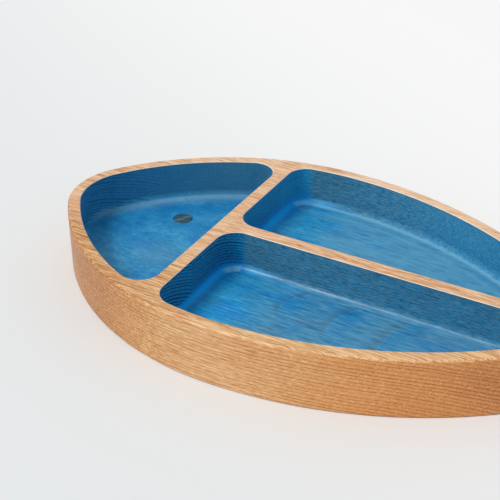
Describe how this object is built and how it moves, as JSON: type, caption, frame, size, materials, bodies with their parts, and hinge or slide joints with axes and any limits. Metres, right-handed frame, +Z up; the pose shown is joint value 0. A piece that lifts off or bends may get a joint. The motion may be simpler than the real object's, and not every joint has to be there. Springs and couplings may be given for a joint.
{
  "type": "serving dish",
  "caption": "Lens-shaped wooden serving dish with routed compartments stained blue, a cross wall, a long spine and a round dark inlay, for snacks or appetisers.",
  "frame": {"origin": "centre of the footprint's box, on the underside that the dish stands on", "axes": "+X along the dish from the blunt nose to the tail, +Z up out of the compartments, +Y towards the side that the inlay lies on"},
  "size_m": [0.3864, 0.224, 0.043],
  "materials": {
    "stave_near": "oiled ash, blue stain inside the compartments",
    "stave_middle": "oiled ash, blue stain inside the compartments",
    "stave_far": "oiled ash, blue stain inside the compartments",
    "eye_plug": "dark hardwood, oiled, washed with the blue stain"
  },
  "bodies": {
    "root": {"stave_near": "stave_near", "stave_middle": "stave_middle", "stave_far": "stave_far", "eye_plug": "eye_plug"}
  },
  "joints": []
}
